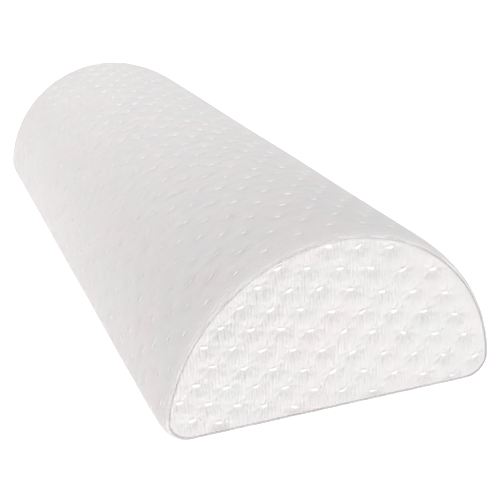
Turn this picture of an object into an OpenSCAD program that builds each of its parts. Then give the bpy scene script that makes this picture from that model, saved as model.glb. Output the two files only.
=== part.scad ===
// Half-moon bolster: a D-section foam core in a liner and a zipped, quilted knit cover.
// X runs across the bolster, Y along it, Z up. The origin is the middle of the flat base.
// The front end is at -Y. The zip runs along the +X side and is closed at the front.

/* [Bolster] */
// Length from end face to end face
bolster_l = 500; // [400:10:650]
// Radius of the arched back
arch_r = 100; // [90:1:120]
// Height of the arch's centre above the flat base
arch_rise = 5.28; // [2:0.01:10]
// Radius of the two long lower edges
edge_r = 16.38; // [14:0.01:18]

/* [Cover] */
// Thickness of the quilted knit
cover_t = 3.5; // [2.5:0.5:3.5]
// How far in from the outline the end seams lie
seam_in = 4; // [4:0.5:5]
// Length over which the wrap rounds in to the end seam
seam_round = 7; // [6:0.5:9]
// Width of the seam allowance inside the cover
allowance = 12; // [10:1:14]
// Thickness of an end's allowance, squeezed by the stitches
allowance_t = 2.5; // [2:0.25:2.5]

/* [Liner] */
// Thickness of the liner cloth
liner_t = 0.8; // [0.4:0.1:1]

/* [Zip] */
// Distance from the top of the rounded lower edge up to the middle of the zip
zip_up = 17; // [16:1:40]
// Distance from each end face to the zip's opening
zip_margin = 33; // [32:1:60]
// Width of the opening in the cover
slot_w = 12; // [12:0.5:14]
// Width of each half of the tape
tape_w = 13.4; // [12:0.2:14]
// Width of one row of coil
coil_w = 2.4; // [2:0.1:2.5]
// Thickness of the coil
coil_t = 2.2; // [1.8:0.1:2.2]

/* [Slider] */
// Length of the slider
slider_l = 13; // [12:0.5:16]
// Width of the slider
slider_w = 9.6; // [9.2:0.2:10]
// Length of the pull from its pivot to its tip
pull_l = 24; // [20:1:28]
// Width of the pull
pull_w = 6.4; // [6:0.2:7]

/* [Hidden] */
$fn = 96;

// Each lower edge's rounding touches the arch on the line through both centres
edge_up = edge_r - arch_rise;
edge_x = sqrt(pow(arch_r - edge_r, 2) - pow(edge_up, 2));
edge_ang = atan2(edge_up, edge_x);
half_l = bolster_l / 2;

// End seams: the wrap's rounding is an arc that meets its wall smoothly
round_r = (seam_round * seam_round + seam_in * seam_in) / (2 * seam_in);
round_ang = asin(seam_round / round_r);
round_steps = 6;
cap_round = 2;
raw_edge = half_l - allowance;

// Seam threads, in the groove between wrap and end
seam_thread_t = 0.45;
seam_thread_depth = 0.15;
overlock_t = 0.4;
overlock_l = 5;

// Liner and core, clear of the cover and of its allowances
skin_gap = 0.2;
liner_in = cover_t + skin_gap;
core_in = liner_in + liner_t + skin_gap;
shoulder_in = seam_in + allowance_t + overlock_t + skin_gap;
shoulder_s = raw_edge - 1.5;
shoulder_l = 4.5;
liner_end_s = half_l - cover_t - skin_gap;

// Zip, as heights from the cover's outer face, minus being inward
zip_ang = edge_ang + deg_of(zip_up);
slot_half = half_l - zip_margin;
chain_gap = 1.2;
tape_t = 0.7;
tape_top = -cover_t - skin_gap;
tape_over = 10;
coil_top = tape_top + coil_t;
trench_w = tape_w + 1.1;
trench_in = cover_t + 2.8;
stop_l = 3;
stop_s = slot_half - 5;
coil_half = stop_s - stop_l - 0.05;
stitch_w = 0.6;
stitch_t = 0.5;
stitch_out = slot_w / 2 + 2.5;
bartack_l = 2.2;

// Slider and pull
plate_t = 1;
plate_gap = 0.3;
plate_round = 2.4;
top_plate = coil_top + plate_gap;
low_plate = tape_top - tape_t - plate_gap - 0.2 - plate_t;
flange_t = 0.9;
neck_w = 0.6;
neck_l = 2;
pull_t = 1.2;
bar_r = pull_t / 2;
hinge_h = 1.5;
hinge_y = -(stop_s - stop_l) + 0.1 + slider_l / 2;
bridge_w = 2;
bridge_l = 7.4;
bridge_t = 0.95;
window_l = bridge_l - 2.4;
window_top = hinge_h + bar_r + 0.2;
arm_gap = bridge_w + 0.8;
arm_l = 4.8;
pull_hole_r = 1.3;

// Angle at the arch's centre of a length along its face
function deg_of(length) = length / arch_r * 180 / PI;

// Points of the arc by which the wrap turns in to its seam, as [depth in, distance from the middle]
function round_points() = [
    for (i = [round_steps:-1:0])
        let (a = round_ang * i / round_steps)
            [round_r * (1 - cos(a)), half_l - seam_round + round_r * sin(a)]
];

// Points of a quarter round at an end's rim
function rim_points() = [
    for (i = [0:round_steps])
        let (a = 90 * i / round_steps)
            [seam_in + cap_round * (1 - cos(a)), half_l - cap_round * (1 - sin(a))]
];

// The same points at the other end, in the other order
function other_end(points) = [
    for (i = [len(points) - 1:-1:0]) [points[i][0], -points[i][1]]
];

// Wall of a layer whose face lies at depth d, with a shoulder at each end that clears the allowances
function shoulder_points(d, end_s) = let (more = d - liner_in)
    [
        [shoulder_in + more, end_s],
        [shoulder_in + more, shoulder_s],
        [d, shoulder_s - shoulder_l]
    ];

function layer_points(d, end_s) = concat(
    shoulder_points(d, end_s),
    other_end(shoulder_points(d, end_s))
);

// Turns a profile of [radius, distance to the front] about an axis along Y, inside a wedge given by its points
module turn_in_wedge(wedge) {
    rotate([90, 0, 0])
        intersection() {
            rotate_extrude()
                children();
            linear_extrude(bolster_l + 2, center = true)
                polygon(wedge);
        }
}

// The part of a turn about the arch's centre that lies above the edges' centres
module arch_turn() {
    reach = 2 * arch_r;
    translate([0, 0, arch_rise])
        turn_in_wedge([
            [-edge_x, edge_up], [edge_x, edge_up], [2 * edge_x, 2 * edge_up],
            [2 * edge_x, reach], [-2 * edge_x, reach], [-2 * edge_x, 2 * edge_up]
        ])
            children();
}

// The part of a turn about one edge's centre that lies outside the base and below the arch
module edge_turn(side) {
    translate([side * edge_x, 0, edge_r])
        turn_in_wedge([
            [0, 0], [0, -edge_x], [side * 2 * edge_x, -edge_x], [side * 2 * edge_x, 2 * edge_up]
        ])
            children();
}

// Runs a closed profile in Y and Z straight across the base
module base_run() {
    translate([-edge_x, 0, 0])
        rotate([90, 0, 90])
            linear_extrude(2 * edge_x)
                children();
}

// Carries a closed profile of [depth in, distance to the front] once round the outline
module sweep_outline(points) {
    arch_turn()
        polygon([for (p = points) [arch_r - p[0], p[1]]]);
    for (side = [-1, 1])
        edge_turn(side)
            polygon([for (p = points) [edge_r - p[0], p[1]]]);
    base_run()
        polygon([for (p = points) [-p[1], p[0]]]);
}

// Fills the outline from the profile in to the middle
module fill_outline(points) {
    s0 = points[0][1];
    s1 = points[len(points) - 1][1];
    arch_turn()
        polygon(concat([[0, s0]], [for (p = points) [arch_r - p[0], p[1]]], [[0, s1]]));
    for (side = [-1, 1])
        edge_turn(side)
            polygon(concat([[0, s0]], [for (p = points) [edge_r - p[0], p[1]]], [[0, s1]]));
    base_run()
        polygon(concat([[-s0, edge_r]], [for (p = points) [-p[1], p[0]]], [[-s1, edge_r]]));
}

// Curved band on the zip's side: heights h0 to h1, across from c0 to c1, along from y0 to y1
module zip_band(h0, h1, c0, c1, y0, y1) {
    translate([0, 0, arch_rise])
        rotate([90, 0, 0])
            rotate([0, 0, zip_ang + deg_of(c0)])
                rotate_extrude(angle = deg_of(c1 - c0))
                    translate([arch_r + h0, -y1])
                        square([h1 - h0, y1 - y0]);
}

// Local frame of the zip: X out from the cover's face, Y along the bolster, Z up across the zip
module zip_frame(y) {
    translate([0, y, arch_rise])
        rotate([0, -zip_ang, 0])
            translate([arch_r, 0, 0])
                children();
}

// The same piece at the other end
module rear() {
    rotate([0, 0, 180])
        children();
}

module block(x0, x1, y0, y1, z0, z1) {
    translate([x0, y0, z0])
        cube([x1 - x0, y1 - y0, z1 - z0]);
}

// Flat plate with rounded corners, its thickness along X from x0
module plate(x0, t, l, w, r) {
    for (sy = [-1, 1], sz = [-1, 1])
        translate([x0, sy * (l / 2 - r), sz * (w / 2 - r)])
            rotate([0, 90, 0])
                cylinder(r = r, h = t);
    block(x0, x0 + t, -l / 2 + r, l / 2 - r, -w / 2, w / 2);
    block(x0, x0 + t, -l / 2, l / 2, -w / 2 + r, w / 2 - r);
}

module foam_core() {
    color("moccasin")
        difference() {
            fill_outline(layer_points(core_in, liner_end_s - liner_t - skin_gap));
            zip_band(
                -(trench_in + liner_t + skin_gap), 1,
                -(trench_w + liner_t + skin_gap), trench_w + liner_t + skin_gap,
                -(slot_half + tape_over + 2), slot_half + tape_over + 2
            );
        }
}

// Half of the liner's wall: the solid inside its face at depth d, with the trench for the zip pressed in
module liner_solid(d) {
    more = d - liner_in;
    end_s = liner_end_s - liner_t + (more > 0 ? 1 : 0);
    difference() {
        fill_outline(layer_points(d, end_s));
        zip_band(
            -(trench_in + more), 1,
            -(trench_w + more), trench_w + more,
            -(slot_half + tape_over + more), slot_half + tape_over + more
        );
    }
}

module liner_wrap() {
    color("whitesmoke")
        difference() {
            liner_solid(liner_in);
            liner_solid(liner_in + liner_t);
        }
}

module liner_end_front() {
    color("whitesmoke")
        fill_outline([[shoulder_in, liner_end_s - liner_t], [shoulder_in, liner_end_s]]);
}

module liner_end_rear() {
    rear()
        liner_end_front();
}

module cover_wrap() {
    turned_in = concat([[cover_t, raw_edge], [seam_in, raw_edge]], round_points());
    color("ghostwhite")
        difference() {
            sweep_outline(concat(turned_in, other_end(turned_in)));
            zip_band(-cover_t - 1, 1, -slot_w / 2, slot_w / 2, -slot_half, slot_half);
        }
}

module cover_end_front() {
    inner = seam_in + allowance_t;
    back = half_l - cover_t;
    color("white")
        fill_outline(concat(
            [[inner, back], [inner, raw_edge], [seam_in, raw_edge]],
            rim_points()
        ));
}

module cover_end_rear() {
    rear()
        cover_end_front();
}

module seam_thread_front() {
    u0 = seam_in + 0.02;
    u1 = u0 + seam_thread_t;
    s1 = half_l - seam_thread_depth;
    s0 = s1 - seam_thread_t;
    color("white")
        sweep_outline([[u0, s0], [u1, s0], [u1, s1], [u0, s1]]);
}

module seam_thread_rear() {
    rear()
        seam_thread_front();
}

module overlock_front() {
    face = seam_in + allowance_t + 0.05;
    edge = raw_edge - 0.05;
    color("white")
        sweep_outline([
            [cover_t + 0.1, edge - overlock_t],
            [face + overlock_t - 0.05, edge - overlock_t],
            [face + overlock_t - 0.05, edge + overlock_l],
            [face, edge + overlock_l],
            [face, edge],
            [cover_t + 0.1, edge]
        ]);
}

module overlock_rear() {
    rear()
        overlock_front();
}

module zip_tape(side) {
    c0 = side > 0 ? chain_gap / 2 : -tape_w;
    c1 = side > 0 ? tape_w : -chain_gap / 2;
    color("white")
        zip_band(tape_top - tape_t, tape_top, c0, c1, -(slot_half + tape_over), slot_half + tape_over);
}

module zip_tape_upper() {
    zip_tape(1);
}

module zip_tape_lower() {
    zip_tape(-1);
}

module zip_coil(side) {
    far = chain_gap / 2 + coil_w;
    c0 = side > 0 ? chain_gap / 2 : -far;
    c1 = side > 0 ? far : -chain_gap / 2;
    color("gainsboro")
        zip_band(tape_top + 0.02, coil_top, c0, c1, -coil_half, coil_half);
}

module zip_coil_upper() {
    zip_coil(1);
}

module zip_coil_lower() {
    zip_coil(-1);
}

// A stop at the end of the coil, c0 to c1 across
module zip_stop(c0, c1, y) {
    zip_band(tape_top + 0.02, coil_top + 0.25, c0, c1, y, y + stop_l);
}

module zip_top_stops() {
    far = chain_gap / 2 + coil_w;
    color("silver")
        for (side = [-1, 1])
            zip_stop(
                side > 0 ? chain_gap / 2 : -far,
                side > 0 ? far : -chain_gap / 2,
                -stop_s
            );
}

module zip_bottom_stop() {
    far = chain_gap / 2 + coil_w;
    color("silver")
        zip_stop(-far, far, stop_s - stop_l);
}

module zip_stitch(side) {
    c = side * stitch_out;
    color("white")
        zip_band(0.02, stitch_t, c - stitch_w / 2, c + stitch_w / 2, -slot_half, slot_half);
}

module zip_stitch_upper() {
    zip_stitch(1);
}

module zip_stitch_lower() {
    zip_stitch(-1);
}

module bartack_front() {
    color("white")
        zip_band(0.02, stitch_t, -stitch_out, stitch_out, -slot_half - bartack_l - 0.2, -slot_half - 0.2);
}

module bartack_rear() {
    color("white")
        zip_band(0.02, stitch_t, -stitch_out, stitch_out, slot_half + 0.2, slot_half + bartack_l + 0.2);
}

module zip_slider() {
    flange_low = tape_top + plate_gap;
    color("silver")
        zip_frame(hinge_y) {
            plate(top_plate, plate_t, slider_l, slider_w, plate_round);
            plate(low_plate, plate_t, slider_l, slider_w, plate_round);
            for (side = [-1, 1])
                translate([0, 0, side * (slider_w - flange_t) / 2])
                    block(
                        flange_low, top_plate + plate_t / 2,
                        -slider_l / 2 + plate_round, slider_l / 2 - plate_round,
                        -flange_t / 2, flange_t / 2
                    );
            block(
                low_plate + plate_t / 2, top_plate + plate_t / 2,
                -slider_l / 2 + 0.1, -slider_l / 2 + neck_l,
                -neck_w / 2, neck_w / 2
            );
            difference() {
                plate_bridge();
                block(top_plate + plate_t, window_top, -window_l / 2, window_l / 2, -bridge_w, bridge_w);
            }
        }
}

// Bridge that holds the pull's bar, rounded along its top
module plate_bridge() {
    top = window_top + bridge_t;
    low = top_plate + plate_t / 2;
    r = 1.8;
    block(low, top - r, -bridge_l / 2, bridge_l / 2, -bridge_w / 2, bridge_w / 2);
    block(low, top, -bridge_l / 2 + r, bridge_l / 2 - r, -bridge_w / 2, bridge_w / 2);
    for (side = [-1, 1])
        translate([top - r, side * (bridge_l / 2 - r), -bridge_w / 2])
            cylinder(r = r, h = bridge_w);
}

module zip_pull() {
    tip_r = pull_w / 2;
    color("silver")
        zip_frame(hinge_y)
            translate([hinge_h, 0, 0])
                difference() {
                    union() {
                        translate([0, 0, -pull_w / 2 + 0.4])
                            cylinder(r = bar_r, h = pull_w - 0.8);
                        for (side = [-1, 1])
                            translate([0, 0, side * (arm_gap + pull_w - 0.8) / 4])
                                block(
                                    -bar_r, bar_r, 0, arm_l + 1,
                                    -(pull_w - 0.8 - arm_gap) / 4, (pull_w - 0.8 - arm_gap) / 4
                                );
                        block(-bar_r, bar_r, arm_l, pull_l - tip_r, -pull_w / 2, pull_w / 2);
                        translate([-bar_r, pull_l - tip_r, 0])
                            rotate([0, 90, 0])
                                cylinder(r = tip_r, h = pull_t);
                    }
                    translate([-bar_r - 1, pull_l - tip_r, 0])
                        rotate([0, 90, 0])
                            cylinder(r = pull_hole_r, h = pull_t + 2);
                }
}

foam_core();
liner_wrap();
liner_end_front();
liner_end_rear();
cover_wrap();
cover_end_front();
cover_end_rear();
seam_thread_front();
seam_thread_rear();
overlock_front();
overlock_rear();
zip_tape_upper();
zip_tape_lower();
zip_coil_upper();
zip_coil_lower();
zip_top_stops();
zip_bottom_stop();
zip_stitch_upper();
zip_stitch_lower();
bartack_front();
bartack_rear();
zip_slider();
zip_pull();
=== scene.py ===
"""Bolster pillow: a foam half-round in a tufted knit cover with a zip along its right side.

All lengths are metres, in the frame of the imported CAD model: X across the pillow, Y along it,
Z up, with the origin at the bottom centre. The D-shaped outline is walked by its arc length t:
0 at the crown, positive towards +X, and half the outline's length at the middle of the base.
Depth is measured inwards from that outline.
"""

import math

import bmesh
import bpy
import numpy as np
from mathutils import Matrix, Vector, geometry, kdtree


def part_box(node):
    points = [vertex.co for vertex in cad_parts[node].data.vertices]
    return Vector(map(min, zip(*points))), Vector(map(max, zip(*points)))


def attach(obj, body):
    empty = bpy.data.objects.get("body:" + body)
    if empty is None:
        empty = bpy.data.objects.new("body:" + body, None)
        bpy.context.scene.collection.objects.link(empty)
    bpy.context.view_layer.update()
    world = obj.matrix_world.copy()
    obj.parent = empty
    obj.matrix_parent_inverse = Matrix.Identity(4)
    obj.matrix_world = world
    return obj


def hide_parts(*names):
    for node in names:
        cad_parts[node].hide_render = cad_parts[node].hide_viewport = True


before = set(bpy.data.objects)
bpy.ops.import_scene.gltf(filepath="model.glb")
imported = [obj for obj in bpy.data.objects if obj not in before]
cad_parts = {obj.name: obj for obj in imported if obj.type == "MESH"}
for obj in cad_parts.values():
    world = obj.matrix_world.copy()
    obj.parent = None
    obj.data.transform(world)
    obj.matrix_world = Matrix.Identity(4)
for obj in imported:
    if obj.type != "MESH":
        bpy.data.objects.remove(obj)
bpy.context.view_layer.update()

MM = 0.001

# ---------------------------------------------------------------- sizes from the CAD model

HALF_WIDTH, HALF_LENGTH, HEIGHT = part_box("cover_wrap")[1]
ARCH_R = 100 * MM
ARCH_Z = HEIGHT - ARCH_R
EDGE_R = 16.38 * MM
EDGE_X = HALF_WIDTH - EDGE_R
EDGE_TURN = math.atan2(EDGE_R - ARCH_Z, EDGE_X)
ARCH_ARC = ARCH_R * (math.pi / 2 - EDGE_TURN)
EDGE_ARC = EDGE_R * (math.pi / 2 + EDGE_TURN)
ROUND_ARC = ARCH_ARC + EDGE_ARC
HALF_GIRTH = ROUND_ARC + EDGE_X
GIRTH = 2 * HALF_GIRTH

# the zip's middle line lies on the arch, this far above level as seen from the arch's centre
ZIP_ANGLE = math.radians(17.3684)
ZIP_T = ARCH_R * (math.pi / 2 - ZIP_ANGLE)
# the cover's slot over the zip: half its width and half its length
SLOT_HALF = 6 * MM
SLOT_END = 217 * MM
# how far outside the slot the topstitching runs
STITCH_OUT = 2.5 * MM
COVER_THICK = 3.5 * MM

ENDS = (("front", -1), ("rear", 1))
ZIP_HALVES = (("upper", 1), ("lower", -1))

rng = np.random.default_rng(20)


# ---------------------------------------------------------------- the D-shaped outline

def outline(t):
    """Points (x, z) and outward normals (nx, nz) of the outline at arc lengths t."""
    t = np.asarray(t, float)
    t = (t + HALF_GIRTH) % GIRTH - HALF_GIRTH
    side, a = np.where(t < 0, -1.0, 1.0), np.abs(t)
    on_arch, on_edge = a <= ARCH_ARC, (a > ARCH_ARC) & (a <= ROUND_ARC)
    angle = np.where(on_arch, math.pi / 2 - a / ARCH_R, EDGE_TURN - (a - ARCH_ARC) / EDGE_R)
    angle = np.where(on_arch | on_edge, angle, -math.pi / 2)
    nx, nz = np.cos(angle), np.sin(angle)
    r = np.where(on_arch, ARCH_R, EDGE_R)
    cx = np.where(on_arch, 0.0, np.where(on_edge, EDGE_X, EDGE_X - (a - ROUND_ARC)))
    cz = np.where(on_arch, ARCH_Z, EDGE_R)
    nx = np.where(on_arch | on_edge, nx, 0.0)
    return side * (cx + r * nx), cz + r * nz, side * nx, nz


def place(t, y, depth):
    """Points at arc length t and length y, depth inside the outline."""
    x, z, nx, nz = outline(t)
    return np.stack(np.broadcast_arrays(x - nx * depth, y, z - nz * depth), axis=-1)


def depth_inside(x, z):
    """How deep points (x, z) lie inside the outline."""
    x = np.abs(x)
    arch = ARCH_R - np.hypot(x, z - ARCH_Z)
    edge = EDGE_R - np.hypot(x - EDGE_X, z - EDGE_R)
    in_edge = (x > EDGE_X) & (z < EDGE_R + (x - EDGE_X) * math.tan(EDGE_TURN))
    return np.where(in_edge, edge, np.minimum(arch, z))


# ---------------------------------------------------------------- mesh helpers

def make_piece(name, points, faces, material, body, slot, cloth=None, smooth=True):
    """A mesh object from points and a list of face arrays, with its faces turned outwards.
    cloth gives each point its (u, v) on the flat cloth."""
    mesh = bpy.data.meshes.new(name)
    points = np.asarray(points, float).reshape(-1, 3)
    faces = [np.asarray(f, int) for f in faces if len(f)]
    sizes = np.concatenate([np.full(len(f), f.shape[1]) for f in faces])
    corners = np.concatenate([f.ravel() for f in faces])
    mesh.vertices.add(len(points))
    mesh.vertices.foreach_set("co", points.ravel())
    mesh.loops.add(len(corners))
    mesh.loops.foreach_set("vertex_index", corners)
    mesh.polygons.add(len(sizes))
    mesh.polygons.foreach_set("loop_start", np.concatenate([[0], np.cumsum(sizes)[:-1]]))
    if smooth:
        mesh.polygons.foreach_set("use_smooth", np.ones(len(sizes), bool))
    if cloth is not None:
        layer = mesh.uv_layers.new(name="cloth")
        layer.data.foreach_set("uv", np.asarray(cloth, float)[corners].ravel())
    mesh.update(calc_edges=True)
    mesh.validate()
    form = bmesh.new()
    form.from_mesh(mesh)
    bmesh.ops.recalc_face_normals(form, faces=form.faces)
    form.to_mesh(mesh)
    form.free()
    obj = bpy.data.objects.new(name, mesh)
    bpy.context.scene.collection.objects.link(obj)
    obj.data.materials.append(material)
    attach(obj, body)
    return obj


class Parts:
    """Collects points and faces of many small closed forms into one mesh."""

    def __init__(self):
        self.points, self.quads, self.tris, self.count = [], [], [], 0

    def add(self, points, quads, tris):
        self.points.append(points)
        self.quads.append(np.asarray(quads, int).reshape(-1, 4) + self.count)
        self.tris.append(np.asarray(tris, int).reshape(-1, 3) + self.count)
        self.count += len(points)

    def piece(self, name, material, body, slot, **more):
        return make_piece(
            name, np.concatenate(self.points),
            [np.concatenate(self.quads), np.concatenate(self.tris)], material, body, slot, **more)


def tube_mesh(path, radius, sides=6, flat=1.0, up=None, lobes=0, twist=0.0, lobe_size=0.15):
    """A closed tube along path. radius may be one per point; flat squeezes it along up."""
    path = np.asarray(path, float)
    n = len(path)
    radius = np.broadcast_to(radius, n)
    along = np.gradient(path, axis=0)
    along /= np.linalg.norm(along, axis=1, keepdims=True)
    rise = np.asarray(up if up is not None else (0.0, 0.0, 1.0), float)
    rise = np.broadcast_to(rise, (n, 3))
    across = np.cross(along, rise)
    across /= np.maximum(np.linalg.norm(across, axis=1, keepdims=True), 1e-9)
    rise = np.cross(across, along)
    turn = np.arange(sides) / sides * 2 * math.pi
    step = np.linspace(0, 1, n)[:, None]
    r = radius[:, None] * (1 + lobe_size * np.cos(lobes * turn[None] + twist * step) * (lobes > 0))
    rings = (path[:, None] + across[:, None] * (r * np.cos(turn))[..., None]
             + rise[:, None] * (r * np.sin(turn) * flat)[..., None])
    points = np.concatenate([rings.reshape(-1, 3), path[:1], path[-1:]])
    i, k = np.meshgrid(np.arange(n - 1), np.arange(sides), indexing="ij")
    k2 = (k + 1) % sides
    quads = np.stack([i * sides + k, i * sides + k2, (i + 1) * sides + k2, (i + 1) * sides + k],
                     axis=-1).reshape(-1, 4)
    k = np.arange(sides)
    k2, first, last = (k + 1) % sides, n * sides, n * sides + 1
    ends = np.concatenate([
        np.stack([np.full(sides, first), k2, k], axis=-1),
        np.stack([np.full(sides, last), (n - 1) * sides + k, (n - 1) * sides + k2], axis=-1)])
    return points, quads, ends


def bridge(points, loop_a, loop_b):
    """Triangles between two closed loops of point numbers that run the same way."""
    start = np.argmin(np.linalg.norm(points[loop_b] - points[loop_a[0]], axis=1))
    loop_b = np.roll(loop_b, -start)
    tris, i, j = [], 0, 0
    la, lb = len(loop_a), len(loop_b)

    def walked(loop):
        p = points[np.append(loop, loop[0])]
        d = np.concatenate([[0], np.cumsum(np.linalg.norm(np.diff(p, axis=0), axis=1))])
        return d / d[-1]

    da, db = walked(loop_a), walked(loop_b)
    while i < la or j < lb:
        a, b = loop_a[i % la], loop_b[j % lb]
        if j >= lb or (i < la and da[i + 1] <= db[j + 1]):
            tris.append((a, loop_a[(i + 1) % la], b))
            i += 1
        else:
            tris.append((a, loop_b[(j + 1) % lb], b))
            j += 1
    return np.array(tris)


def round_columns(near, step):
    """Arc lengths from the zip's middle all round to just before it again: near, given to one
    side of the zip, on both its sides, and even columns about step apart over the rest."""
    near = np.asarray(near, float) * MM
    count = int((GIRTH - 2 * near[-1]) / step)
    middle = np.linspace(near[-1], GIRTH - near[-1], count + 1)[1:-1]
    return ZIP_T - GIRTH + np.concatenate([near, middle, GIRTH - near[:0:-1]])


def both_ways(half):
    """Rows of (y, depth) from the middle to the rear, mirrored to run from front to rear."""
    return np.concatenate([half[:0:-1] * (-1, 1), half])


def smooth_path(controls, step):
    """Points on a smooth curve through controls, about step apart."""
    c = np.asarray(controls, float)
    c = np.concatenate([2 * c[:1] - c[1:2], c, 2 * c[-1:] - c[-2:-1]])
    made = []
    for p0, p1, p2, p3 in zip(c, c[1:], c[2:], c[3:]):
        n = max(1, int(round(np.linalg.norm(p2 - p1) / step)))
        s = (np.arange(n) / n)[:, None]
        made.append(0.5 * (2 * p1 + (p2 - p0) * s + (2 * p0 - 5 * p1 + 4 * p2 - p3) * s ** 2
                           + (3 * p1 - p0 - 3 * p2 + p3) * s ** 3))
    made.append(c[-2:-1])
    return np.concatenate(made)


def bump_at(distance, size):
    """A smooth bell, 1 at distance 0."""
    return np.exp(-(distance / size) ** 2)


# ---------------------------------------------------------------- materials

def build_material(name, color, roughness, **sockets):
    """A material with a Principled shader; sockets are set by name on the shader itself."""
    mat = bpy.data.materials.new(name)
    mat.use_nodes = True
    shader = mat.node_tree.nodes["Principled BSDF"]
    shader.inputs["Base Color"].default_value = (*color, 1)
    shader.inputs["Roughness"].default_value = roughness
    for key, value in sockets.items():
        shader.inputs[key.replace("_", " ")].default_value = value
    return mat, shader


def add_node(mat, kind, inputs=None, **settings):
    """A node with its settings, and inputs by name or number: a value or another's output."""
    made = mat.node_tree.nodes.new("ShaderNode" + kind)
    for key, value in settings.items():
        setattr(made, key, value)
    for key, value in (inputs or {}).items():
        if isinstance(value, bpy.types.NodeSocket):
            mat.node_tree.links.new(value, made.inputs[key])
        else:
            made.inputs[key].default_value = value
    return made


def calc(mat, operation, *values):
    """The output of a Math node."""
    return add_node(mat, "Math", dict(enumerate(values)), operation=operation).outputs[0]


def noise(mat, vector, scale, detail=2.0, rough=0.5):
    made = add_node(mat, "TexNoise", {"Vector": vector, "Scale": scale, "Detail": detail,
                                      "Roughness": rough})
    return made.outputs["Fac"]


def ramp(mat, factor, *stops):
    """The colour of a ramp with stops (position, colour)."""
    made = add_node(mat, "ValToRGB", {"Fac": factor})
    bar = made.color_ramp
    while len(bar.elements) < len(stops):
        bar.elements.new(0.5)
    for element, (position, color) in zip(bar.elements, stops):
        element.position, element.color = position, (*color, 1)
    return made.outputs["Color"]


def blend_colors(mat, mode, factor, a, b):
    made = add_node(mat, "Mix", data_type="RGBA", blend_type=mode)
    for key, value in ((0, factor), (6, a), (7, b)):
        if isinstance(value, bpy.types.NodeSocket):
            mat.node_tree.links.new(value, made.inputs[key])
        else:
            made.inputs[key].default_value = value
    return made.outputs[2]


def add_bump(mat, shader, height, depth):
    bump = add_node(mat, "Bump", {"Height": height, "Strength": 1.0, "Distance": depth})
    mat.node_tree.links.new(bump.outputs["Normal"], shader.inputs["Normal"])


def cloth_uv(mat):
    """(vector, u, v) of the cloth's own flat pattern, in metres."""
    uv = add_node(mat, "UVMap", uv_map="cloth").outputs["UV"]
    parts = add_node(mat, "SeparateXYZ", {"Vector": uv})
    return uv, parts.outputs["X"], parts.outputs["Y"]


def place_in_piece(mat):
    return add_node(mat, "TexCoord").outputs["Object"]


def knit_material(name, wale=1.3 * MM, course=1.7 * MM):
    """Soft white double knit: rows of small V stitches, a faint tint, a light sheen."""
    mat, shader = build_material(name, (0.8, 0.8, 0.8), 0.9, Sheen_Weight=0.35,
                                 Sheen_Roughness=0.45, Specular_IOR_Level=0.25)
    uv, u, v = cloth_uv(mat)
    # the V stitches: each column has two legs that lean together, and the rows wander a little
    wobble = calc(mat, "MULTIPLY", noise(mat, uv, 90.0), 2.2)
    column = calc(mat, "DIVIDE", u, wale)
    leg = calc(mat, "PINGPONG", column, 0.5)
    row = calc(mat, "ADD", calc(mat, "DIVIDE", v, course), wobble)
    chevron = calc(mat, "PINGPONG", calc(mat, "ADD", row, leg), 0.5)
    lean = calc(mat, "PINGPONG", calc(mat, "MULTIPLY", column, 2.0), 0.5)
    height = calc(mat, "ADD", calc(mat, "MULTIPLY", chevron, 1.1), calc(mat, "MULTIPLY", lean, 0.5))
    # loose fibre, patches of thicker yarn, and creases drawn out across the cloth
    fuzz = noise(mat, uv, 1600.0, 3.0, 0.6)
    patches = noise(mat, uv, 260.0, 2.0, 0.5)
    height = calc(mat, "ADD", height, calc(mat, "MULTIPLY", fuzz, 0.7))
    height = calc(mat, "ADD", height, calc(mat, "MULTIPLY", patches, 0.9))
    drawn = add_node(mat, "Mapping", {"Vector": uv, "Scale": (0.3, 1.0, 1.0),
                                      "Rotation": (0, 0, 0.25)})
    creases = noise(mat, drawn.outputs["Vector"], 170.0, 2.0, 0.45)
    height = calc(mat, "ADD", height, calc(mat, "MULTIPLY", creases, 2.1))
    # a faint cast that drifts between greenish and pink, with painted shade: darker where the
    # stitch height is low, in the gaps between the loops and along the creases
    tint = ramp(mat, noise(mat, uv, 28.0, 1.0), (0.3, (0.784, 0.793, 0.787)),
                (0.5, (0.802, 0.791, 0.789)), (0.7, (0.818, 0.785, 0.785)))
    # painted shade: the knit's colour is darkened by up to 7% where its relief sits low
    painted_gap_shade = ramp(mat, height, (0.35, (0.93, 0.93, 0.93)), (1.15, (1, 1, 1)))
    mat.node_tree.links.new(blend_colors(mat, "MULTIPLY", 1.0, tint, painted_gap_shade),
                            shader.inputs["Base Color"])
    shine = calc(mat, "ADD", calc(mat, "MULTIPLY", fuzz, -0.2), 0.98)
    mat.node_tree.links.new(shine, shader.inputs["Roughness"])
    add_bump(mat, shader, height, 0.6 * MM)
    return mat


def yarn_material(name, color, ply=0.5 * MM, roughness=0.45, sheen=0.3, bump=0.1 * MM):
    """Twisted thread: fine slanted ridges of fibre along the piece."""
    mat, shader = build_material(name, color, roughness, Sheen_Weight=sheen,
                                 Specular_IOR_Level=0.5)
    where = place_in_piece(mat)
    wave = add_node(mat, "TexWave", {"Vector": where, "Scale": 1 / (ply * 6.28), "Distortion": 3.0,
                                     "Detail": 2.0}, bands_direction="DIAGONAL")
    fibre = noise(mat, where, 2600.0, 3.0)
    height = calc(mat, "ADD", wave.outputs["Fac"], fibre)
    # painted shade: the colour darkens where the twist's ridges and fibres sit low, in its grooves
    shade = ramp(mat, height, (0.3, tuple(c * 0.93 for c in color)), (1.2, color))
    mat.node_tree.links.new(shade, shader.inputs["Base Color"])
    mat.node_tree.links.new(calc(mat, "ADD", calc(mat, "MULTIPLY", fibre, 0.3), roughness - 0.15),
                            shader.inputs["Roughness"])
    add_bump(mat, shader, height, bump)
    return mat


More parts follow.
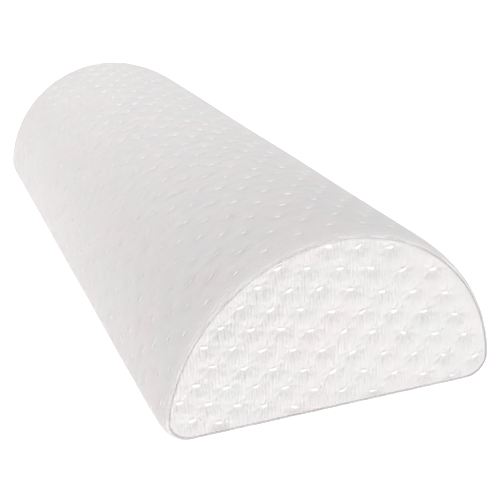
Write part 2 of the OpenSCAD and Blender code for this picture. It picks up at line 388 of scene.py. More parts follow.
def weave_material(name, color, pitch, roughness, bump, slub=0.25):
    """Plain weave: over and under yarns on a square grid, on the cloth's own pattern."""
    mat, shader = build_material(name, color, roughness, Sheen_Weight=0.15)
    uv, u, v = cloth_uv(mat)
    across = calc(mat, "SINE", calc(mat, "MULTIPLY", u, 2 * math.pi / pitch))
    along = calc(mat, "SINE", calc(mat, "MULTIPLY", v, 2 * math.pi / pitch))
    height = calc(mat, "MULTIPLY", across, along)
    fibre = noise(mat, uv, 1.4 / pitch, 2.0)
    height = calc(mat, "ADD", height, calc(mat, "MULTIPLY", fibre, slub * 4))
    # painted shade: the colour darkens where the weave sits low, where the yarns pass under
    shade = ramp(mat, calc(mat, "ADD", calc(mat, "MULTIPLY", height, 0.25), 0.5),
                 (0.2, tuple(c * 0.88 for c in color)), (0.8, color))
    mat.node_tree.links.new(shade, shader.inputs["Base Color"])
    mat.node_tree.links.new(calc(mat, "ADD", calc(mat, "MULTIPLY", fibre, 0.2), roughness - 0.1),
                            shader.inputs["Roughness"])
    add_bump(mat, shader, height, bump)
    return mat


def foam_material(name, color):
    """Open-cell foam: small round cells of mixed size."""
    mat, shader = build_material(name, color, 0.95, Subsurface_Weight=0.1,
                                 Subsurface_Scale=0.004)
    where = place_in_piece(mat)
    cells = add_node(mat, "TexVoronoi", {"Vector": where, "Scale": 700.0}).outputs["Distance"]
    larger = add_node(mat, "TexVoronoi", {"Vector": where, "Scale": 230.0}).outputs["Distance"]
    height = calc(mat, "ADD", cells, calc(mat, "MULTIPLY", larger, 0.6))
    # painted shade: the colour darkens down in the cells, where the bump sits low
    shade = ramp(mat, height, (0.2, tuple(c * 0.8 for c in color)), (0.8, color))
    mat.node_tree.links.new(shade, shader.inputs["Base Color"])
    mat.node_tree.links.new(calc(mat, "ADD", calc(mat, "MULTIPLY", cells, 0.2), 0.8),
                            shader.inputs["Roughness"])
    add_bump(mat, shader, height, 0.35 * MM)
    return mat


def nylon_material(name, color):
    """Smooth moulded nylon with fine drawing lines."""
    mat, shader = build_material(name, color, 0.32, Subsurface_Weight=0.08,
                                 Subsurface_Scale=0.001)
    where = place_in_piece(mat)
    lines = noise(mat, where, 900.0, 3.0)
    cloud = noise(mat, where, 60.0, 2.0)
    shade = ramp(mat, cloud, (0.3, tuple(c * 0.96 for c in color)), (0.7, color))
    mat.node_tree.links.new(shade, shader.inputs["Base Color"])
    mat.node_tree.links.new(calc(mat, "ADD", calc(mat, "MULTIPLY", lines, 0.16), 0.24),
                            shader.inputs["Roughness"])
    add_bump(mat, shader, lines, 0.03 * MM)
    return mat


def metal_material(name, color):
    """Tumbled nickel plate: soft reflections, small rub marks."""
    mat, shader = build_material(name, color, 0.28, Metallic=1.0)
    where = place_in_piece(mat)
    cloud = noise(mat, where, 160.0, 3.0)
    marks = noise(mat, where, 1500.0, 4.0, 0.7)
    shade = ramp(mat, cloud, (0.3, tuple(c * 0.93 for c in color)), (0.7, color))
    mat.node_tree.links.new(shade, shader.inputs["Base Color"])
    mat.node_tree.links.new(calc(mat, "ADD", calc(mat, "MULTIPLY", marks, 0.22), 0.16),
                            shader.inputs["Roughness"])
    add_bump(mat, shader, marks, 0.02 * MM)
    return mat


KNIT = knit_material("white_knit")
TUFT = yarn_material("tuft_yarn", (0.9, 0.9, 0.895), ply=0.45 * MM, roughness=0.4, sheen=0.5)
THREAD = yarn_material("sewing_thread", (0.84, 0.84, 0.83), ply=0.2 * MM, bump=0.05 * MM)
LINER = weave_material("liner_cotton", (0.72, 0.72, 0.7), 0.7 * MM, 0.9, 0.1 * MM)
TAPE = weave_material("zip_tape_weave", (0.78, 0.78, 0.77), 0.55 * MM, 0.8, 0.12 * MM)
FOAM = foam_material("memory_foam", (0.83, 0.8, 0.7))
COIL = nylon_material("zip_nylon", (0.8, 0.8, 0.79))
METAL = metal_material("nickel_plate", (0.7, 0.69, 0.67))


# ---------------------------------------------------------------- tufts

class Tufts:
    """Tuft places on one flat pattern of cloth, each with its own small differences."""

    STRAY = 0.35 * MM       # how far a tuft strays from its place
    PIT_STRETCH = 1.35      # a pit's length along its tuft, to its width
    FOLDS = 7               # small folds round each pit
    FOLD_RISE = 0.2         # their height, to the pit's depth

    def __init__(self, places, lean, lean_spread, size):
        self.at = np.asarray(places, float)
        n = len(self.at)
        self.at = self.at + rng.normal(0, self.STRAY, (n, 2))
        self.lean = lean + rng.normal(0, lean_spread, n)
        self.length = rng.uniform(0.85, 1.15, n) * size[0]
        self.width = rng.uniform(0.85, 1.15, n) * size[1]
        self.sink = rng.uniform(0.8, 1.25, n)
        self.phase = rng.uniform(0, 2 * math.pi, n)
        self.tree = kdtree.KDTree(n)
        for i, (a, b) in enumerate(self.at):
            self.tree.insert((a, b, 0), i)
        self.tree.balance()

    def pit(self, a, b, sink, reach):
        """How far the cloth is pulled in at pattern places a, b."""
        flat_a, flat_b = np.ravel(a), np.ravel(b)
        near = np.array([self.tree.find((p, q, 0))[1] for p, q in zip(flat_a, flat_b)])
        da, db = flat_a - self.at[near, 0], flat_b - self.at[near, 1]
        c, s = np.cos(self.lean[near]), np.sin(self.lean[near])
        along, across = c * da + s * db, c * db - s * da
        far = np.hypot(along / self.PIT_STRETCH, across)
        angle = np.arctan2(across, along)
        folds = (np.cos(self.FOLDS * angle + self.phase[near])
                 * bump_at(far - reach * 0.9, reach * 0.5))
        depth = sink * self.sink[near] * (bump_at(far, reach) + self.FOLD_RISE * folds)
        return depth.reshape(np.shape(a))


def wrap_tufts():
    """The wrap's tufts: rows that lean a little, every other row shifted by half a pitch."""
    pitch, row_step, slope = 19.5 * MM, 12.8 * MM, math.tan(math.radians(3.2))
    # row 0 crosses t = row_t at y = first_y, and column 0 is at t = first_t
    first_t, first_y, row_t = -1 * MM, -238.5 * MM, -60 * MM
    zip_room, seam_room = 11.5 * MM, 7 * MM
    made = []
    for j in range(-6, 48):
        for k in range(-24, 12):
            t = first_t + (k + 0.5 * (j % 2)) * pitch
            y = first_y + j * row_step + slope * (t - row_t)
            across_zip = min(ZIP_T - t, t - ZIP_T + GIRTH)
            if across_zip > zip_room and abs(y) < HALF_LENGTH - seam_room:
                made.append((t, y))
    return Tufts(made, lean=0.0, lean_spread=0.16, size=(2.2 * MM, 0.62 * MM))


def end_tufts(mirror):
    """An end's tufts, in (x, z) as seen from outside: rows that fall towards the right.
    j counts rows and u counts tufts along a row; the small terms bend the rows a little."""
    seam_room = 6.6 * MM
    made = []
    for j in range(-8, 9):
        for k in range(-9, 10):
            u = k + 0.5 * (j % 2)
            x = (-6.2 + 17.8 * u - 2.05 * j + 0.35 * u * u - 0.04 * u * j) * MM
            z = (62.8 - 3.5 * u - 11.3 * j - 0.12 * u * u - 0.28 * u * j) * MM
            if depth_inside(x, z) > seam_room:
                made.append((x * mirror, z))
    return Tufts(made, lean=0.08 * mirror, lean_spread=0.2, size=(2.3 * MM, 1.0 * MM))


def tuft_shape(parts, centre, along, out, length, width, phase):
    """One tuft: a short plump bundle of yarn, pinched at both ends."""
    steps = 7
    s = np.linspace(-1, 1, steps)
    end_dip, taper = 0.45, 0.93
    path = centre + along * (s * length)[:, None] - out * (end_dip * width * s ** 2)[:, None]
    radius = width * np.sqrt(np.maximum(1 - taper * np.abs(s) ** 2.2, 0.03))
    parts.add(*tube_mesh(path, radius, sides=8, flat=0.72, up=out, lobes=3,
                         twist=5.0 + phase, lobe_size=0.13))


# ---------------------------------------------------------------- cover: wrap

# the wrap's run to each end seam, and its curl down and back under the turned edge:
# (distance from the middle, depth), mm
WRAP_PROFILE = [(0, 0), (200, 0), (225, 0.05), (232, 0.2), (237, 0.5), (241, 0.9), (244.5, 1.4),
                (247, 2.0), (248.6, 2.75), (249.5, 3.45), (249.85, 4.0), (249.75, 4.2),
                (249.3, 4.27), (248, 4.28), (246.4, 4.3)]
# where the rows of the mesh start to follow the curl
CURL_START = 241 * MM
WRAP_STEP = 1.75 * MM
# the tufts' pits: depth and reach
WRAP_PIT = (1.15 * MM, 3.3 * MM)
END_PIT = (1.9 * MM, 4.2 * MM)
SWELL_RISE = 0.22 * MM
SWELLS = rng.uniform(0, 2 * math.pi, (7, 2))


def swell(t, y):
    """The cover's slow rise and fall over the foam."""
    made = 0
    for n, (p, q) in enumerate(SWELLS):
        wave_t, wave_y = (2 + n % 3) * 2 * math.pi / GIRTH * (1 + n // 3), (9 + 6.5 * n)
        made = made + np.sin(wave_t * t + p) * np.sin(wave_y * y + q) / (1 + 0.3 * n)
    return SWELL_RISE * made


def on_base(t):
    """1 on the flat base, 0 on the arch."""
    a = np.abs((np.asarray(t) + HALF_GIRTH) % GIRTH - HALF_GIRTH)
    return np.clip((a - ARCH_ARC) / EDGE_ARC, 0, 1)


def slot_dip(across, y):
    """How far the cloth turns down at the slot, and is drawn in along the topstitching and,
    past the slot's ends, along the seam that carries on to the end seams."""
    out = np.hypot(np.maximum(np.abs(across) - SLOT_HALF, 0), np.maximum(np.abs(y) - SLOT_END, 0))
    dip = 1.2 * MM * bump_at(out, 0.75 * MM) + 0.45 * MM * bump_at(out - STITCH_OUT, 0.7 * MM)
    past = np.clip((np.abs(y) - SLOT_END) / (3 * MM), 0, 1)
    seam = 1.6 * MM * bump_at(across, 0.8 * MM) + 0.5 * MM * bump_at(across, 4 * MM)
    fade = np.clip((HALF_LENGTH - 1 * MM - np.abs(y)) / (6 * MM), 0.1, 1)
    return dip + past * seam * fade


def wrap_columns(step):
    """Arc lengths all round, close together near the zip, with lines on the slot's edges."""
    near = np.array([0, 0.3, 0.8, 1.4, 2.2, 3.2, 4.4, 5.3, 6, 6.4, 7, 7.7, 8.5, 9.3, 10.3])
    return round_columns(near, step)


def wrap_rows(step):
    """(y, depth) of each ring between the end seams, with lines at the slot's ends."""
    near = np.array([-2, -1.2, -0.5, 0, 0.5, 1.2, 2]) * MM
    profile = smooth_path(np.array(WRAP_PROFILE) * MM, 0.25 * MM)
    straight = np.arange(0, CURL_START, step)
    straight = straight[np.abs(straight - SLOT_END) > near[-1] + 0.6 * step]
    straight = np.sort(np.concatenate([straight, SLOT_END + near]))
    before = profile[:, 0] < CURL_START + 3 * MM
    depth = np.interp(straight, profile[before, 0], profile[before, 1])
    curl = profile[np.argmax(profile[:, 0] > straight[-1]):]
    walked = np.concatenate([[0], np.cumsum(np.linalg.norm(np.diff(curl, axis=0), axis=1))])
    stops = np.linspace(0, walked[-1], int(walked[-1] / (0.5 * step)))
    curl = np.stack([np.interp(stops, walked, curl[:, k]) for k in (0, 1)], axis=1)
    return both_ways(np.concatenate([np.stack([straight, depth], axis=1), curl[1:]]))


def ringed_grid(columns, rows, depth, slot):
    """A grid round the outline, closed across the columns. slot leaves the zip's slot open.
    Returns points, (t, y) of each, quads, the end loops and the slot's loop."""
    n, m = len(columns), len(rows)
    t, y = np.meshgrid(columns, rows[:, 0])
    points = place(t, y, depth).reshape(-1, 3)
    j, i = np.meshgrid(np.arange(m - 1), np.arange(n), indexing="ij")
    quads = np.stack([j * n + i, (j + 1) * n + i, (j + 1) * n + (i + 1) % n, j * n + (i + 1) % n],
                     axis=-1)
    loops = [np.arange(n), (m - 1) * n + np.arange(n)]
    hole = None
    if slot:
        across = columns - (ZIP_T - GIRTH)
        right = int(np.argmin(np.abs(across - SLOT_HALF)))
        left = int(np.argmin(np.abs(across - (GIRTH - SLOT_HALF))))
        low = int(np.argmin(np.abs(rows[:, 0] + SLOT_END)))
        high = int(np.argmin(np.abs(rows[:, 0] - SLOT_END)))
        column = np.arange(n)
        inside = (column < right) | (column >= left)
        keep = np.ones((m - 1, n), bool)
        keep[low:high, inside] = False
        quads = quads[keep]
        band = np.concatenate([np.arange(left, n), np.arange(0, right + 1)])
        hole = np.concatenate([
            low * n + band[:-1], np.arange(low, high) * n + right,
            high * n + band[:0:-1], np.arange(high, low, -1) * n + left])
    cloth = np.stack([t.ravel(), y.ravel()], axis=1)
    return points, cloth, quads.reshape(-1, 4), loops, hole


def shell(outer, inner):
    """One closed form from two grids, joined along their loops."""
    points = np.concatenate([outer[0], inner[0]])
    cloth = np.concatenate([outer[1], inner[1]])
    shift = len(outer[0])
    quads = np.concatenate([outer[2], inner[2][:, ::-1] + shift])
    tris = [bridge(points, outer[3][0], inner[3][0] + shift),
            bridge(points, outer[3][1], inner[3][1] + shift)[:, ::-1]]
    if outer[4] is not None:
        tris.append(bridge(points, outer[4], inner[4] + shift))
    return points, cloth, quads, np.concatenate(tris)


def wrap_depth(t, y, base_depth, tufts):
    """How far inside the outline the cover's outer face lies."""
    base = on_base(t)
    across = t - ZIP_T
    across = np.where(across < -GIRTH / 2, across + GIRTH, across)
    near_slot = bump_at(np.maximum(np.abs(across) - SLOT_HALF - 2 * MM, 0), 4 * MM)
    # pits and swell fade towards the end seams, and the base stays flatter than the arch
    inside = np.clip((HALF_LENGTH - 6 * MM - np.abs(y)) / (8 * MM), 0, 1)
    flat_run = np.clip((HALF_LENGTH - 4 * MM - np.abs(y)) / (10 * MM), 0, 1)
    depth = base_depth * (1 - 0.7 * base * flat_run)
    depth = depth + tufts.pit(t, y, *WRAP_PIT) * (0.4 + 0.6 * inside)
    rise = swell(t, y) * inside * (1 - near_slot)
    depth = depth - np.where(rise > 0, rise * (1 - base), rise)
    return depth + slot_dip(across, y)


def build_wrap():
    tufts = wrap_tufts()
    columns, rows = wrap_columns(WRAP_STEP), wrap_rows(WRAP_STEP)
    t, y = np.meshgrid(columns, rows[:, 0])
    depth = wrap_depth(t, y, rows[:, 1][:, None] + 0 * t, tufts)
    outer = ringed_grid(columns, rows, depth, True)
    # the back of the cloth, a coarser grid that ends inside the seams
    coarse = round_columns((0, 3, 6), 6 * MM)
    lengths = np.concatenate([np.linspace(0, SLOT_END, 36), [225 * MM, 235 * MM, 243 * MM]])
    back_depth = np.full(len(lengths), COVER_THICK + 0.1 * MM)
    inner_rows = both_ways(np.stack([lengths, back_depth], axis=1))
    inner = ringed_grid(coarse, inner_rows, inner_rows[:, 1][:, None] + 0 * coarse, True)
    points, cloth, quads, tris = shell(outer, inner)
    piece = make_piece("cover_wrap_knit", points, [quads, tris], KNIT, "bolster", "cover_knit",
                       cloth=cloth)
    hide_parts("cover_wrap")
    parts = Parts()
    lift = 0.25 * MM  # of a tuft's middle above its pit
    profile = rows[rows[:, 0].argsort()]
    for n, (a, b) in enumerate(tufts.at):
        here = np.array([a]), np.array([b])
        base_depth = np.interp(b, profile[:, 0], profile[:, 1])
        sunk = float(wrap_depth(*here, np.array([base_depth]), tufts)[0])
        centre = place(a, b, sunk - lift)
        _, _, nx, nz = outline(a)
        out = np.array([float(nx), 0, float(nz)])
        around = np.array([float(nz), 0, -float(nx)])
        along = around * math.cos(tufts.lean[n]) + np.array([0, 1.0, 0]) * math.sin(tufts.lean[n])
        tuft_shape(parts, centre, along, out, tufts.length[n], tufts.width[n], tufts.phase[n])
    parts.piece("wrap_tufts", TUFT, "bolster", "tuft_yarn")


# ---------------------------------------------------------------- cover: ends

# an end's run from its hidden edge out over the rim: (depth, distance from the middle), mm
END_RIM = [(4.66, 246.45), (4.66, 248.5), (4.72, 248.95), (4.95, 249.3), (5.5, 249.6),
           (7.0, 249.8)]
RIM_DEPTH = 7 * MM
END_BACK = 246.45 * MM
# how far the middle of an end stands out past its rim, reached this far in from the rim
END_CROWN = 1.8 * MM
CROWN_REACH = 40 * MM
END_STEP = 0.8 * MM


def end_level(depth):
    """The end's face, as distance from the middle, by depth inside the outline."""
    reach = np.clip((depth - RIM_DEPTH) / CROWN_REACH, 0, 1)
    rim = np.interp(depth, [p[0] * MM for p in END_RIM[1:]], [p[1] * MM for p in END_RIM[1:]])
    return rim + END_CROWN * (1 - (1 - reach) ** 2)


def fill_flat(loop, spacing, gap):
    """Points and triangles that fill a flat loop of (x, z) with an even lattice."""
    x = np.arange(-100 * MM, 100 * MM, spacing)
    z = np.arange(0, 110 * MM, spacing * math.sqrt(3) / 2)
    gx, gz = np.meshgrid(x, z)
    gx = gx + (np.arange(len(z)) % 2)[:, None] * spacing / 2
    gx, gz = gx.ravel(), gz.ravel()
    keep = depth_inside(gx, gz) > gap + 0.75 * spacing
    inner = np.stack([gx[keep], gz[keep]], axis=1)
    n = len(loop)
    coords = [Vector(p) for p in np.concatenate([loop, inner])]
    edges = [(i, (i + 1) % n) for i in range(n)]
    verts, _, faces, *_ = geometry.delaunay_2d_cdt(coords, edges, [], 1, 1e-7)
    return np.array([tuple(v) for v in verts]), np.array([f for f in faces if len(f) == 3])


def build_end(end, side):
    """One end of the cover: side is -1 at the front and 1 at the rear."""
    tufts = end_tufts(-side)
    n = 380
    around = np.linspace(-HALF_GIRTH, HALF_GIRTH, n + 1)[:-1]

    def ring(depth):
        x, z, nx, nz = outline(around)
        return np.stack([x - nx * depth, z - nz * depth], axis=1)

    def face(points):
        depth = depth_inside(points[:, 0], points[:, 1])
        level = end_level(depth)
        level = level - tufts.pit(points[:, 0], points[:, 1], *END_PIT)
        waves = 0.25 * MM * np.sin(95 * points[:, 0] + 2 * side) * np.sin(120 * points[:, 1] + side)
        return level + waves * np.clip((depth - RIM_DEPTH) / (12 * MM), 0, 1)

    # the rim's rings, where the pits fade out, and the face that they surround
    rim = smooth_path(np.array(END_RIM) * MM, 0.45 * MM)
    rings, levels = [], []
    for depth, level in rim:
        rings.append(ring(depth))
        shift = face(rings[-1]) - end_level(depth_inside(*rings[-1].T))
        levels.append(level + shift * np.clip((depth - 5 * MM) / (1.5 * MM), 0, 1))
    inner_points, tris = fill_flat(rings[-1], END_STEP, rim[-1, 0])
    filled = face(inner_points)
    filled[:n] = levels[-1]
    flat = np.concatenate(rings[:-1] + [inner_points])
    level = np.concatenate(levels[:-1] + [filled])
    first = (len(rim) - 1) * n
    k = np.arange(n)
    k2 = (k + 1) % n
    quads = [np.stack([r * n + k, r * n + k2, (r + 1) * n + k2, (r + 1) * n + k], axis=1)
             for r in range(len(rim) - 1)]
    tris = tris + first
    # the back of the cloth, a coarser lattice from the same rim
    back_points, back_tris = fill_flat(rings[0], 7 * MM, rim[0, 0])
    at = len(flat)
    number = np.concatenate([k, at + np.arange(len(back_points) - n)])
    flat = np.concatenate([flat, back_points[n:]])
    deep = depth_inside(*back_points[n:].T)
    level = np.concatenate([level, np.full(len(deep), END_BACK)])
    points = np.stack([flat[:, 0], side * level, flat[:, 1]], axis=1)
    tris = np.concatenate([tris, number[back_tris][:, ::-1]])
    quads = np.concatenate(quads)
    if side > 0:
        quads, tris = quads[:, ::-1], tris[:, ::-1]
    # the area that the outline itself encloses
    piece = make_piece(f"cover_end_{end}_knit", points, [quads, tris], KNIT, "bolster",
                       "cover_knit", cloth=flat[:, ::-1])
    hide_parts(f"cover_end_{end}")
    parts = Parts()
    lift = 0.25 * MM
    for i, (x, z) in enumerate(tufts.at):
        level = float(face(np.array([[x, z]]))[0])
        centre = np.array([x, side * (level + lift), z])
        along = np.array([math.cos(tufts.lean[i]), 0, math.sin(tufts.lean[i])])
        tuft_shape(parts, centre, along, np.array([0, side, 0.0]), tufts.length[i],
                   tufts.width[i], tufts.phase[i])
    parts.piece(f"cover_end_{end}_tufts", TUFT, "bolster", "tuft_yarn")


def build_end_seam(end, side):
    """The end seam's stitches, deep in the groove between wrap and end."""
    stitch, gap, thread_r = 2.4 * MM, 0.5 * MM, 0.19 * MM
    groove_depth, groove_y = 4.5 * MM, 248.8 * MM
    sink = np.array([0.5, 0.1, 0, 0, 0.1, 0.5]) * MM
    count = int(GIRTH / (stitch + gap))
    parts = Parts()
    for n in range(count):
        t = -HALF_GIRTH + (n + np.linspace(0, stitch / (stitch + gap), 6)) * GIRTH / count
        path = place(t, side * (groove_y - sink), groove_depth)
        parts.add(*tube_mesh(path, thread_r, sides=6, up=(0, 1, 0)))
    piece = parts.piece(f"end_seam_{end}", THREAD, "bolster", "thread")
    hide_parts(f"seam_thread_{end}")


# ---------------------------------------------------------------- inside: liner and foam

# (distance from the middle, depth), mm: the liner's face, and the foam's
LINER_PROFILE = [(0, 3.85), (238, 3.85), (241.5, 3.95), (243.6, 4.5), (245, 5.4), (245.9, 6.6),
                 (246.2, 7.4)]
FOAM_PROFILE = [(0, 4.75), (226, 4.75), (231, 4.75), (238, 5.0), (241, 5.6), (243, 6.8),
                (244.3, 8.6), (245.0, 11)]
LINER_THICK = 0.55 * MM


def trench(t, y, half_width):
    """The shallow trench that the zip lies over, as extra depth."""
    side_way = np.minimum(np.abs(t - ZIP_T), np.abs(t - ZIP_T + GIRTH))
    made = 2.5 * MM * np.clip((half_width - side_way) / (3 * MM), 0, 1)
    return made * np.clip((231 * MM - np.abs(y)) / (3 * MM), 0, 1)


def build_liner():
    """The liner's sleeve, a thin cotton tube with a shallow trench under the zip."""
    columns = round_columns((0, 7, 13, 16, 18), 5 * MM)
    profile = np.array(LINER_PROFILE) * MM
    lengths = np.concatenate([np.linspace(0, 227 * MM, 46), [229 * MM, 231 * MM],
                              profile[1:, 0]])
    rows = both_ways(np.stack([lengths, np.interp(lengths, *profile.T)], axis=1))
    t, y = np.meshgrid(columns, rows[:, 0])
    drape = 0.08 * MM * np.sin(140 * t + 3 * np.sin(21 * y)) * (np.abs(y) < 238 * MM)
    depth = rows[:, 1][:, None] + trench(t, y, 18 * MM) + drape
    outer = ringed_grid(columns, rows, depth, False)
    inner = ringed_grid(columns, rows * (0.9985, 1), depth + LINER_THICK, False)
    points, cloth, quads, tris = shell(outer, inner)
    piece = make_piece("liner_sleeve", points, [quads, tris], LINER, "bolster", "liner_cloth",
                       cloth=cloth)
    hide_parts("liner_wrap")


def build_liner_end(end, side):
    """One end of the liner: a thin closed D with a rounded rim."""
    # the rim, from outside to inside: (depth, distance from the middle)
    rings = np.array([(7.4, 246.25), (7.25, 246.0), (7.4, 245.7)]) * MM
    spacing, n = 8 * MM, 160
    x, z, nx, nz = outline(np.linspace(-HALF_GIRTH, HALF_GIRTH, n + 1)[:-1])
    flats = [np.stack([x - nx * depth, z - nz * depth], axis=1) for depth in rings[:, 0]]
    face, face_tris = fill_flat(flats[0], spacing, rings[0, 0])
    back, back_tris = fill_flat(flats[-1], spacing, rings[-1, 0])
    flat = np.concatenate([face, flats[1], back])
    level = side * np.repeat(rings[:, 1], [len(face), n, len(back)])
    starts = [0, len(face), len(face) + n]
    k = np.arange(n)
    k2 = (k + 1) % n
    quads = np.concatenate([np.stack([a + k, b + k, b + k2, a + k2], axis=1)
                            for a, b in zip(starts, starts[1:])])
    tris = np.concatenate([face_tris, back_tris[:, ::-1] + starts[-1]])
    soft = 0.12 * MM * np.sin(160 * flat[:, 0]) * np.sin(140 * flat[:, 1])
    points = np.stack([flat[:, 0], level + side * soft, flat[:, 1]], axis=1)
    if side > 0:
        quads, tris = quads[:, ::-1], tris[:, ::-1]
    piece = make_piece(f"liner_end_{end}_cloth", points, [quads, tris], LINER, "bolster",
                       "liner_cloth", cloth=flat)
    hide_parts(f"liner_end_{end}")


def build_foam():
    """The foam core: one moulded block with softened shoulders, fitted inside the liner."""
    foam_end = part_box("foam_core")[1][1] * 0.9995
    columns = round_columns((0, 7, 13, 16.5, 19), 5 * MM)
    profile = np.array(FOAM_PROFILE) * MM
    lengths = np.concatenate([np.linspace(0, 225 * MM, 40), profile[1:, 0]])
    rows = both_ways(np.stack([lengths, np.interp(lengths, *profile.T)], axis=1))
    t, y = np.meshgrid(columns, rows[:, 0])
    depth = rows[:, 1][:, None] + trench(t, y, 19 * MM)
    points, _, quads, loops, _ = ringed_grid(columns, rows, depth, False)
    tris = []
    for loop, end in zip(loops, (-1, 1)):
        # each end is filled with a lattice, a little proud in the middle
        flat = points[loop][:, [0, 2]]
        filled, face_tris = fill_flat(flat, 6 * MM, profile[-1, 1])
        number = np.concatenate([loop, len(points) + np.arange(len(filled) - len(loop))])
        face_tris = number[face_tris]
        extra = filled[len(loop):]
        points = np.concatenate([points, np.stack(
            [extra[:, 0], np.full(len(extra), end * foam_end), extra[:, 1]], axis=1)])
        tris.append(face_tris if end < 0 else face_tris[:, ::-1])
    piece = make_piece("foam_block", points, [quads, np.concatenate(tris)], FOAM, "bolster", "foam")
    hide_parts("foam_core")


# ---------------------------------------------------------------- zip

ZIP_OUT = np.array([math.cos(ZIP_ANGLE), 0, math.sin(ZIP_ANGLE)])
ZIP_UP = np.array([-math.sin(ZIP_ANGLE), 0, math.cos(ZIP_ANGLE)])
ZIP_MID = np.array([ARCH_R * math.cos(ZIP_ANGLE), 0, ARCH_Z + ARCH_R * math.sin(ZIP_ANGLE)])


def zip_point(y, across, out):
    """A point of the zip: across is up the side of the pillow, out is past the cover's face."""
    y, across, out = np.broadcast_arrays(*(np.asarray(v, float) for v in (y, across, out)))
    return (ZIP_MID + y[..., None] * np.array([0, 1.0, 0]) + across[..., None] * ZIP_UP
            + out[..., None] * ZIP_OUT)


# the tape's section, from its outer edge in along the top and back: (across, out), mm
TAPE_SECTION = [(13.35, -4.05), (13.2, -3.78), (9, -3.74), (4.2, -3.74), (3.4, -3.72),
                (1.4, -3.72), (0.8, -3.76), (0.62, -4.05), (0.8, -4.34), (3.4, -4.38),
                (9, -4.36), (13.2, -4.32)]
TAPE_HALF = 226.8 * MM


def build_tape(half, side):
    """A half of the zip's tape: woven, with its inner edge under the coil."""
    section = np.array(TAPE_SECTION) * MM
    lengths = np.linspace(-TAPE_HALF, TAPE_HALF, 190)
    ripple = 0.04 * MM * np.sin(55 * lengths + side)
    k = len(section)
    points = zip_point(lengths[:, None], side * section[None, :, 0],
                       section[None, :, 1] + ripple[:, None] * (section[None, :, 0] > 6 * MM))
    cloth = np.stack(np.broadcast_arrays(section[None, :, 0], lengths[:, None]), axis=-1)
    j, i = np.meshgrid(np.arange(len(lengths) - 1), np.arange(k), indexing="ij")
    i2 = (i + 1) % k
    quads = np.stack([j * k + i, j * k + i2, (j + 1) * k + i2, (j + 1) * k + i],
                     axis=-1).reshape(-1, 4)
    last = (len(lengths) - 1) * k
    caps = np.array([(0, i, i + 1) for i in range(1, k - 1)])
    tris = np.concatenate([caps[:, ::-1], caps + last])
    if side < 0:
        quads, tris = quads[:, ::-1], tris[:, ::-1]
    piece = make_piece(f"zip_tape_{half}_woven", points.reshape(-1, 3), [quads, tris], TAPE,
                       "bolster", "zip_tape", cloth=cloth.reshape(-1, 2), smooth=False)
    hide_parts(f"zip_tape_{half}")


def build_coil(half, side):
    """A row of the zip's coil, with a sewing stitch over each pair of turns."""
    pitch, wire_r, thread_r = 1.5 * MM, 0.3 * MM, 0.14 * MM
    start, end = -208.4 * MM, 208.4 * MM
    # the coil's middle, and half its size across and out; its turns reach the other row
    middle, half_wide = 1.5 * MM, 1.07 * MM
    level, half_high = -2.58 * MM, 0.76 * MM
    turns = int((end - start) / pitch)
    per_turn = 12
    s = np.arange(turns * per_turn + 1) / per_turn
    angle = 2 * math.pi * s
    bulge = 1 + 0.12 * np.cos(2 * angle)
    across = middle - half_wide * np.cos(angle) * bulge
    out = level + half_high * np.sin(angle)
    y = start + pitch * (s + 0.25 * side)
    parts = Parts()
    parts.add(*tube_mesh(zip_point(y, side * across, out), wire_r, sides=6, up=(0, 1, 0)))
    for n in range(0, turns, 2):
        y0 = start + pitch * (n + 0.6)
        stitch = zip_point(y0 + np.array([0, 0.2, 0.8, 1.0]) * 2 * pitch, side * 2.55 * MM,
                           np.array([-3.3, -1.62, -1.62, -3.3]) * MM)
        parts.add(*tube_mesh(stitch, thread_r, sides=5, up=ZIP_UP))
    piece = parts.piece(f"zip_coil_{half}_wound", COIL, "bolster", "zip_coil")
    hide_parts(f"zip_coil_{half}")


def build_topstitch(half, side):
    """A line of topstitching through cover and tape."""
    stitch, gap, thread_r = 2.9 * MM, 0.35 * MM, 0.27 * MM
    count = int(2 * SLOT_END / (stitch + gap))
    s = np.linspace(-0.5, 0.5, 7)
    out = np.array([-0.75, -0.2, 0.05, 0.1, 0.05, -0.2, -0.75]) * MM
    parts = Parts()
    for n in range(count):
        y = -SLOT_END + (n + 0.5) * 2 * SLOT_END / count
        path = zip_point(y + s * stitch, side * (SLOT_HALF + STITCH_OUT), out - 0.1 * MM)
        parts.add(*tube_mesh(path, thread_r, sides=7, up=ZIP_OUT, lobes=2, twist=9.0))
    piece = parts.piece(f"topstitch_{half}", THREAD, "bolster", "thread")
    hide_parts(f"zip_stitch_{half}")


def build_bartack(end, side):
    """A bar tack across the end of the opening: close zigzag stitches over two short bars."""
    zigs, tack_y, zig_half = 26, 218.3 * MM, 0.85 * MM
    groove, groove_wide = 1.1 * MM, 1.2 * MM
    s = np.linspace(-1, 1, zigs * 2 + 1)
    across = s * 8.3 * MM
    y = side * (tack_y + zig_half * np.where(np.arange(len(s)) % 2, 1, -1))
    path = smooth_path(zip_point(y, across, -0.35 * MM - groove * bump_at(across, groove_wide)),
                       0.5 * MM)
    parts = Parts()
    parts.add(*tube_mesh(path, 0.24 * MM, sides=6, up=ZIP_OUT))
    across = np.linspace(-8.2, 8.2, 30) * MM
    for offset in (-0.35 * MM, 0.35 * MM):
        bar = zip_point(side * (tack_y + offset), across,
                        -0.62 * MM - groove * bump_at(across, groove_wide))
        parts.add(*tube_mesh(bar, 0.22 * MM, sides=6, up=ZIP_OUT))
    piece = parts.piece(f"bartack_{end}_sewn", THREAD, "bolster", "thread")
    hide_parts(f"bartack_{end}")


# ---------------------------------------------------------------- the whole object

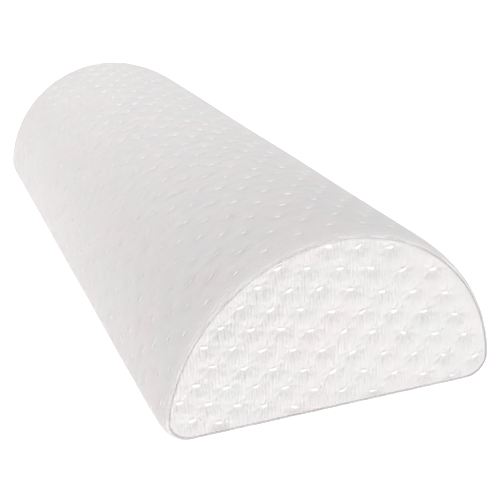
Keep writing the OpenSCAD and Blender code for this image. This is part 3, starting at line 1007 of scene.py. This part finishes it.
build_wrap()
for end_name, end_side in ENDS:
    build_end(end_name, end_side)
for end_name, end_side in ENDS:
    build_end_seam(end_name, end_side)
build_liner()
for end_name, end_side in ENDS:
    build_liner_end(end_name, end_side)
build_foam()
for build_half in (build_tape, build_coil, build_topstitch):
    for half_name, half_side in ZIP_HALVES:
        build_half(half_name, half_side)
for end_name, end_side in ENDS:
    build_bartack(end_name, end_side)

# the nodes that keep their CAD meshes get a material each
for node, material in (("zip_slider", METAL), ("zip_pull", METAL), ("zip_top_stops", METAL),
                       ("zip_bottom_stop", METAL), ("overlock_front", THREAD),
                       ("overlock_rear", THREAD)):
    kept = bpy.data.objects[node]
    kept.data.materials.clear()
    kept.data.materials.append(material)


# ---------------------------------------------------------------- camera, floor and light

def aim(obj, place_at, target):
    obj.location = place_at
    obj.rotation_euler = (Vector(target) - Vector(place_at)).to_track_quat("-Z", "Y").to_euler()


# the photograph's view, from fitting the pillow's outline and front seam
CAMERA_AT, CAMERA_TARGET = (-0.2041, -0.6282, 0.2694), (-0.0071, -0.1408, 0.0553)
CAMERA_LENS, CAMERA_SENSOR = 65.9, 36

camera = bpy.data.objects.new("camera", bpy.data.cameras.new("camera"))
bpy.context.scene.collection.objects.link(camera)
camera.data.lens, camera.data.sensor_width = CAMERA_LENS, CAMERA_SENSOR
aim(camera, CAMERA_AT, CAMERA_TARGET)
bpy.context.scene.camera = camera

# a white floor, just under the pillow, that glows enough to stay white
FLOOR_HALF, FLOOR_Z = 6.0, -0.0004
floor_mat = build_material("floor_white", (0.9, 0.9, 0.9), 0.8, Emission_Color=(1, 1, 1, 1),
                           Emission_Strength=0.69)[0]
floor_mesh = bpy.data.meshes.new("floor")
floor_mesh.from_pydata([(x * FLOOR_HALF, y * FLOOR_HALF, FLOOR_Z)
                        for x, y in ((-1, -1), (1, -1), (1, 1), (-1, 1))], [], [(0, 1, 2, 3)])
floor = bpy.data.objects.new("floor", floor_mesh)
floor.data.materials.append(floor_mat)
bpy.context.scene.collection.objects.link(floor)

LIGHT_TARGET = (0, -0.1, 0.05)


def add_area_light(name, place_at, size, power, color):
    """A large square lamp, size wide, that points at the pillow."""
    light = bpy.data.objects.new(name, bpy.data.lights.new(name, "AREA"))
    light.data.size, light.data.energy, light.data.color = size, power, color
    aim(light, place_at, LIGHT_TARGET)
    bpy.context.scene.collection.objects.link(light)


def add_spot(name, place_at, target, cone, power):
    """A soft round pool of light that fades out towards the edge of its cone."""
    light = bpy.data.objects.new(name, bpy.data.lights.new(name, "SPOT"))
    light.data.energy, light.data.shadow_soft_size = power, 0.35
    light.data.spot_size, light.data.spot_blend = math.radians(cone), 1.0
    aim(light, place_at, target)
    bpy.context.scene.collection.objects.link(light)


add_area_light("key", (0.75, -2.1, 1.05), 0.8, 24.5, (1, 0.98, 0.985))
add_area_light("left_fill", (-2.2, -0.3, 0.9), 1.8, 14, (1, 0.88, 0.9))
add_spot("top", (-0.15, 0.53, 1.8), (0, 0.17, 0.05), 52, 93)

world = bpy.data.worlds.new("studio")
bpy.context.scene.world = world
world.use_nodes = True
sky = world.node_tree.nodes["Background"]
sky.inputs["Color"].default_value = (1, 1, 1, 1)
sky.inputs["Strength"].default_value = 0.32

bpy.context.scene.view_settings.view_transform = "Standard"
